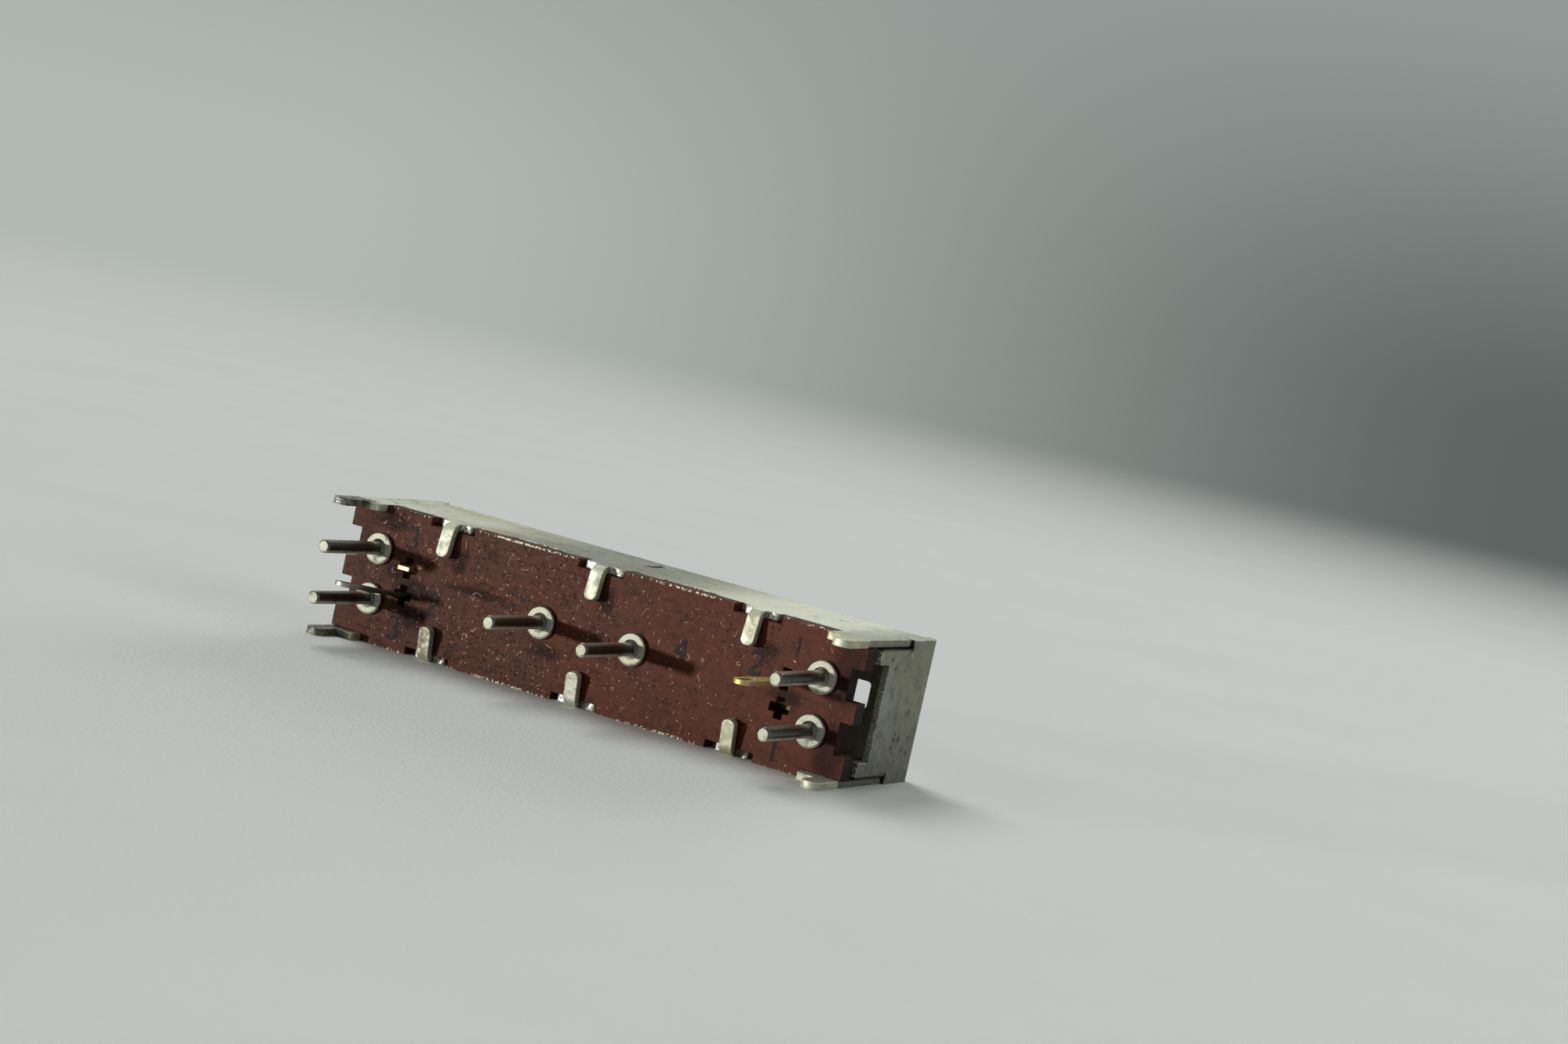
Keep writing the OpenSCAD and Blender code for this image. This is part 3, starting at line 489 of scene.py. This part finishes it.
finishes = {
    "tinPlate": tinPlate(), "phenolic": paperPhenolic(), "wire": tinnedWire(), "ivory": agedNylon(),
    "leftLug": lugBrass("tinnedLugBrass", tinned=0.62, tarnished=0.34),
    "rightLug": lugBrass("goldenLugBrass", tinned=0.36, tarnished=0.0),
    "bronze": rolledMetal("springBronze"), "spring": rolledMetal("blueSpringSteel"),
    "silver": rolledMetal("silverInk"), "carbon": carbonFilm(), "ink": markingInk(), "fibre": paperFibre(),
}
# finish by the start of a node's name
nodeFinish = {
    "housing": "tinPlate", "terminal_board": "phenolic", "slider_lever": "ivory", "drag_spring": "spring",
    "collector_upper": "rightLug", "collector_lower": "leftLug", "carbon_track": "carbon", "end_pads": "silver",
    "tap_pad": "silver", "pin_": "wire", "tap_pin": "wire", "wiper": "bronze",
}
for name, solid in nodes.items():
    key = next(finish for start, finish in nodeFinish.items() if name.startswith(start))
    solid.data.materials.clear()
    solid.data.materials.append(finishes[key])
print("finishes:", len(finishes), "on", len(nodes), "solids")


# added pieces
# skin over rows of closed rings, points[row, step, around]: a quad between neighbours, a cap at both ends of a row
def skin(name, points):
    count, steps, around = points.shape[:3]
    index = np.arange(count * steps * around).reshape(count, steps, around)
    here, there = index[:, :-1], index[:, 1:]
    walls = np.stack([here, np.roll(here, -1, 2), np.roll(there, -1, 2), there], axis=-1).reshape(-1, 4)
    ends = np.concatenate([index[:, 0, ::-1], index[:, -1, :]])
    mesh = bpy.data.meshes.new(name)
    mesh.from_pydata(points.reshape(-1, 3).tolist(), [], walls.tolist() + ends.tolist())
    mesh.validate()
    mesh.update()
    piece = bpy.data.objects.new(name, mesh)
    bpy.context.scene.collection.objects.link(piece)
    return piece


# a closed loop carried along many paths on the board, all at once:
# point = path + across * loop side * width + outward * loop rise * height
def carry(name, paths, loop, width, height):
    paths, width, height = (np.asarray(a, float) for a in (paths, width, height))
    along = np.gradient(paths, axis=1)
    along /= np.linalg.norm(along, axis=2, keepdims=True)
    across = np.stack([-along[..., 1], along[..., 0]], axis=2)
    flat = paths[:, :, None, :] + across[:, :, None, :] * (loop[:, 0] * width[..., None])[..., None]
    lift = loop[:, 1] * height[..., None]
    return skin(name, np.stack([flat[..., 0] * mm, boardFace - lift * mm, flat[..., 1] * mm], axis=-1))


# low rounded bead: half an ellipse on a flat foot just under the surface
def bead(around):
    turn, foot = np.linspace(0, math.pi, around), -0.4
    return np.concatenate([np.stack([np.cos(turn) / 2, np.sin(turn)], 1), [[-0.5, foot], [0.5, foot]]])


# blunt ends: full width in the middle, a quarter circle of falling width at each end
def blunt(steps, share):
    t = np.linspace(0, 1, steps)
    reach = np.clip(np.minimum(t, 1 - t) / share, 0, 1)
    leastSquare = 0.02
    return np.sqrt(np.clip(1 - (1 - reach) ** 2, leastSquare, 1))


# arc of an ellipse, from first to last in degrees
def bow(cx, cy, rx, ry, first, last, steps=40):
    turn = np.radians(np.linspace(first, last, steps))
    return np.stack([cx + rx * np.cos(turn), cy + ry * np.sin(turn)], 1)


# equal steps along a line of points
def evenly(points, steps):
    points = np.asarray(points, float)
    run = np.concatenate([[0], np.cumsum(np.linalg.norm(np.diff(points, axis=0), axis=1))])
    t = np.linspace(0, run[-1], steps)
    return np.stack([np.interp(t, run, points[:, 0]), np.interp(t, run, points[:, 1])], 1)


# strokes of the numerals in a box one unit tall
numeralStrokes = {
    "1": [[(0, 0.5), (0, -0.5)]],
    "2": [np.concatenate([bow(0, 0.21, 0.29, 0.29, 165, -38), [(-0.28, -0.47)]]),
          [(-0.31, -0.47), (0.32, -0.47)]],
    "3": [bow(-0.03, 0.25, 0.27, 0.25, 150, -92), bow(-0.03, -0.24, 0.32, 0.26, 92, -150)],
    "4": [[(0.14, 0.5), (-0.30, -0.17)], [(-0.33, -0.17), (0.34, -0.17)], [(0.14, 0.5), (0.14, -0.5)]],
}
numeralLooks = {
    "tall": 2.05, "stroke": 0.38, "film": 0.025, "steps": 36, "around": 7, "ends": 0.09,
    # numeral, x, z
    "places": (("3", -21.55, 4.34), ("2", -17.80, -1.34), ("3", -21.70, -4.67), ("4", 10.20, 1.28),
               ("1", 21.95, 4.52), ("2", 18.00, 2.03), ("1", 21.70, -5.25)),
}


def terminalNumbers():
    look = numeralLooks
    paths = [evenly(np.asarray(stroke) * look["tall"] + (x, z), look["steps"])
             for digit, x, z in look["places"] for stroke in numeralStrokes[digit]]
    taper = np.tile(blunt(look["steps"], look["ends"]), (len(paths), 1))
    width, height = look["stroke"] * taper, look["film"] * taper
    piece = carry("terminal_numbers", paths, bead(look["around"]), width, height)
    piece.data.materials.append(finishes["ink"])
    return piece


# specks are short and faint, curls are longer threads of the paper
fibreLooks = {
    "seed": 21, "steps": 9, "around": 5, "proud": 0.016, "edge": (27.0, 6.35), "margin": 0.25, "ends": 0.35,
    "spare": 6, "lengths": (1.1, 2.8), "wave": 0.5,  # tries for each fibre, shape of the beta spread, radians
    # fewer show towards the right end: where the thinning starts, over what length, and its most
    "thin": (6.0, 12, 0.75),
    "kinds": ({"count": 700, "long": (0.05, 0.40), "wide": (0.050, 0.150), "curl": 1.2, "shade": (0.05, 1.0)},
              {"count": 52, "long": (0.45, 1.7), "wide": (0.045, 0.085), "curl": 3.4, "shade": (0.40, 1.0)}),
}
# what stands on the board or is cut from it: x, z, half width, half height
boardClear = (
    [(x, z, 1.75, 1.75) for x in (-25, 25) for z in (-2.5, 2.5)]  # end pins
    + [(x, 0, 1.75, 1.75) for x in (-5.15, 5.15)]  # tap pins
    + [(x, z, 1.25, 1.25) for x in (-21.35, 21.35) for z in (-1.35, 1.35)]  # lugs and crossed holes
    + [(x, z, 1.0, 2.5) for x in (-17.2, 0, 17.2) for z in (-6.2, 6.2)]  # tabs
    + [(x, z, 2.6, 0.9) for x in (-17.2, 0, 17.2) for z in (-6.3, 6.3)]  # notches beside the tabs
    + [(x, z, 2.2, 1.2) for x in (-27.6, 27.6) for z in (-5.9, 5.9)]  # legs
)


def boardFibres():
    look, rng = fibreLooks, np.random.default_rng(fibreLooks["seed"])
    blocks, t = np.asarray(boardClear), np.linspace(-0.5, 0.5, look["steps"])
    thinFrom, thinOver, thinMost = look["thin"]
    paths, width, shade = [], [], []
    for kind in look["kinds"]:
        centre = rng.uniform(-1, 1, (kind["count"] * look["spare"], 2)) * look["edge"]
        away = np.abs(centre[:, None, :] - blocks[None, :, :2])
        hit = (away < blocks[None, :, 2:] + look["margin"]).all(2).any(1)
        thin = rng.uniform(0, 1, len(centre)) < np.clip((centre[:, 0] - thinFrom) / thinOver, 0, thinMost)
        centre = centre[~(hit | thin)][:kind["count"]]
        count = len(centre)
        low, high = kind["long"]
        length = low + (high - low) * rng.beta(*look["lengths"], count)
        # heading along the fibre: a straight turn plus one wave; the path is the running sum of its steps
        heading = rng.uniform(0, math.pi, count)[:, None] + rng.normal(0, kind["curl"], count)[:, None] * t
        wave = rng.normal(0, look["wave"], count)[:, None]
        heading = heading + wave * np.sin(2 * math.pi * (t + rng.uniform(0, 1, (count, 1))))
        step = np.stack([np.cos(heading), np.sin(heading)], 2) * (length[:, None, None] / look["steps"])
        path = np.cumsum(step, axis=1)
        paths.append(path + centre[:, None, :] - path.mean(1, keepdims=True))
        width.append(rng.uniform(*kind["wide"], count))
        shade.append(rng.uniform(*kind["shade"], count))
    paths, taper = np.concatenate(paths), blunt(look["steps"], look["ends"])
    width = np.concatenate(width)[:, None] * taper
    height = look["proud"] * np.tile(taper, (len(paths), 1))
    piece = carry("board_fibres", paths, bead(look["around"]), width, height)
    pointsEach = len(piece.data.vertices) // len(paths)
    piece.data.attributes.new("fibreShade", "FLOAT", "POINT").data.foreach_set(
        "value", np.repeat(np.concatenate(shade), pointsEach).astype(np.float32))
    piece.data.materials.append(finishes["fibre"])
    return piece


# crest of the thread in each tapped panel hole; depths are under the panel face
threadLooks = {
    "holes": (-26.0, 26.0), "radius": 1.25, "crest": 0.085, "pitch": 0.5, "first": 0.10, "last": 1.26,
    "foot": 0.40, "flat": 0.07, "sunk": 0.02, "runOut": 0.15, "leastRise": 0.04, "depths": (0.02, 1.38),
    "steps": 160,
}


def panelThreads():
    look = threadLooks
    # helix: point = hole + (r cos a, -depth, r sin a) with a = -2 pi depth / pitch; its ridge is r = radius - crest
    depth = np.linspace(look["first"], look["last"], look["steps"])
    turn = -2 * math.pi * depth / look["pitch"]
    toEnd = np.minimum(depth - look["first"], look["last"] - depth)
    rise = np.clip(toEnd / look["runOut"], look["leastRise"], 1) * look["crest"]
    half, top = look["foot"] / 2, look["flat"] / 2
    sunk = np.full_like(rise, -look["sunk"])
    radius = look["radius"] - np.stack([sunk, sunk, rise, rise], 1)
    down = np.clip(depth[:, None] + np.array([-half, half, top, -top]), *look["depths"])
    ring = np.stack([radius * np.cos(turn)[:, None], -down, radius * np.sin(turn)[:, None]], axis=-1)
    piece = skin("panel_threads", np.stack([ring + (x, 0, 0) for x in look["holes"]]) * mm)
    piece.data.materials.append(finishes["tinPlate"])
    return piece


added = ((terminalNumbers(), "phenolic_board"), (boardFibres(), "phenolic_board"), (panelThreads(), "tinned_steel"))
for piece, slot in added:
    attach(piece, "case")
    print("added:", piece.name, len(piece.data.polygons), "faces")


# floor, light and camera
floorLooks = {
    "reach": 1.6, "fade": (0.25, 1.0), "rings": 48, "turns": 96,  # reach and fade in metres
    "colour": (0.92, 0.95, 0.91), "shaded": 0.92, "bounce": (0.36, 0.37, 0.36),
    "grain": (0.5, 4, 0.6), "shading": (26, 3), "rough": 0.9, "shine": 0.2, "relief": 0.05,
}


def paleFloor():
    look = floorLooks
    # polar grid: point = (r cos a, r sin a, restHeight), r = reach * t ** 2, so rings crowd near the middle
    ring = look["reach"] * np.linspace(0, 1, look["rings"])[1:] ** 2
    turn = np.arange(look["turns"]) * 2 * math.pi / look["turns"]
    flat = ring[:, None, None] * np.stack([np.cos(turn), np.sin(turn)], 1)
    points = np.concatenate([[[0, 0]], flat.reshape(-1, 2)])
    points = np.column_stack([points, np.full(len(points), restHeight)])
    index = 1 + np.arange(len(ring) * look["turns"]).reshape(len(ring), look["turns"])
    nextOne = np.roll(index, -1, 1)
    quads = np.stack([index[:-1], index[1:], nextOne[1:], nextOne[:-1]], -1).reshape(-1, 4).tolist()
    fan = np.stack([np.zeros_like(index[0]), index[0], nextOne[0]], -1).tolist()
    mesh = bpy.data.meshes.new("floor")
    mesh.from_pydata(points.tolist(), [], quads + fan)
    mesh.update()
    floor = bpy.data.objects.new("floor", mesh)
    bpy.context.scene.collection.objects.link(floor)
    f = Finish("palePaper")
    grain, shading = f.clouds(look, "grain", "shading")
    shaded = tuple(look["shaded"] * c for c in look["colour"])
    colour = f.tint(f.rise(shading, 0.3, 0.7) * 0.25, look["colour"], shaded)
    colour = f.tint(f.seen(), look["bounce"], colour)
    f.set(colour=colour, rough=look["rough"], shine=look["shine"], normal=f.bump(grain, look["relief"]))
    # the rim fades into the backdrop
    radius = (f.x ** 2 + f.y ** 2) ** 0.5 * mm
    paper, clear = Wire(f, f.shader.outputs[0]), f.add("ShaderNodeBsdfTransparent")
    mixed = f.add("ShaderNodeMixShader", None, {0: f.rise(radius, *look["fade"]), 1: paper, 2: clear})
    f.feed(f.result.inputs[0], mixed)
    floor.data.materials.append(f.owner)


# backdrop seen by the camera and by metal: left, far and right behind the part, one shade above and in front;
# even light on the rest
lightLooks = {
    "left": (0.44, 0.475, 0.44), "far": (0.11, 0.13, 0.125), "right": (0.16, 0.17, 0.16),
    "above": (0.30, 0.325, 0.315), "even": (0.12, 0.123, 0.12),
    # where one shade gives way to the next, as parts of the direction
    "farAcross": (-0.62, -0.22), "rightAcross": (0.05, 0.40), "aboveHeight": (0.0, 0.16), "frontDepth": (-0.3, 0.3),
    # suns: level of light on a white face, direction to the light, width in degrees
    "suns": (("side", 0.92, (-0.57, -0.82, 0.02), 4), ("front", 0.07, (-0.29, -0.85, 0.44), 12),
             ("behind", 0.34, (-0.57, 0.30, 0.766), 30), ("right", 0.12, (0.90, 0.10, 0.42), 24),
             ("back", 0.36, (-0.05, 0.97, 0.22), 24)),
}


def studioLight():
    look = lightLooks
    sky = Tree(bpy.data.worlds.new("softRoom"))
    bpy.context.scene.world = sky.owner
    across, deep, height = sky.parts(sky.add("ShaderNodeTexCoord"))
    backdrop = sky.tint(sky.rise(across, *look["farAcross"]), look["left"], look["far"])
    backdrop = sky.tint(sky.rise(across, *look["rightAcross"]), backdrop, look["right"])
    overhead = sky.rise(height, *look["aboveHeight"]).most(sky.rise(-deep, *look["frontDepth"]))
    backdrop = sky.tint(overhead, backdrop, look["above"])
    room = sky.add("ShaderNodeBackground", None, {"Color": sky.tint(sky.seen(), look["even"], backdrop)})
    sky.feed(sky.nodeTree.nodes.new("ShaderNodeOutputWorld").inputs[0], room)
    for name, level, towards, width in look["suns"]:
        lamp = bpy.data.lights.new(name, "SUN")
        lamp.energy, lamp.angle = level * math.pi, math.radians(width)
        holder = bpy.data.objects.new(name, lamp)
        holder.rotation_euler = Vector(towards).to_track_quat("Z", "Y").to_euler()
        bpy.context.scene.collection.objects.link(holder)


cameraLooks = {"lens": 66.62, "sensor": 36, "clip": (0.01, 20), "eye": (137.907, -248.332, 36.210),
               "azimuth": 27.21, "elevation": 4.58, "roll": 12.50}


def photoCamera():
    look = cameraLooks
    az, el, roll = (math.radians(look[k]) for k in ("azimuth", "elevation", "roll"))
    back = Vector((math.sin(az) * math.cos(el), -math.cos(az) * math.cos(el), math.sin(el)))
    level = Vector((math.cos(az), math.sin(az), 0))
    tall = back.cross(level)
    right = math.cos(roll) * level + math.sin(roll) * tall
    up = math.cos(roll) * tall - math.sin(roll) * level
    lens = bpy.data.cameras.new("camera")
    lens.sensor_fit, lens.sensor_width, lens.lens = "HORIZONTAL", look["sensor"], look["lens"]
    lens.clip_start, lens.clip_end = look["clip"]
    camera = bpy.data.objects.new("camera", lens)
    turned = Matrix((right, up, back)).transposed().to_4x4()
    camera.matrix_world = Matrix.Translation(Vector(look["eye"]) * mm) @ turned
    bpy.context.scene.collection.objects.link(camera)
    bpy.context.scene.camera = camera


paleFloor()
studioLight()
photoCamera()
bpy.context.scene.view_settings.view_transform = "Standard"
print("stage: floor, world, lamps and camera")
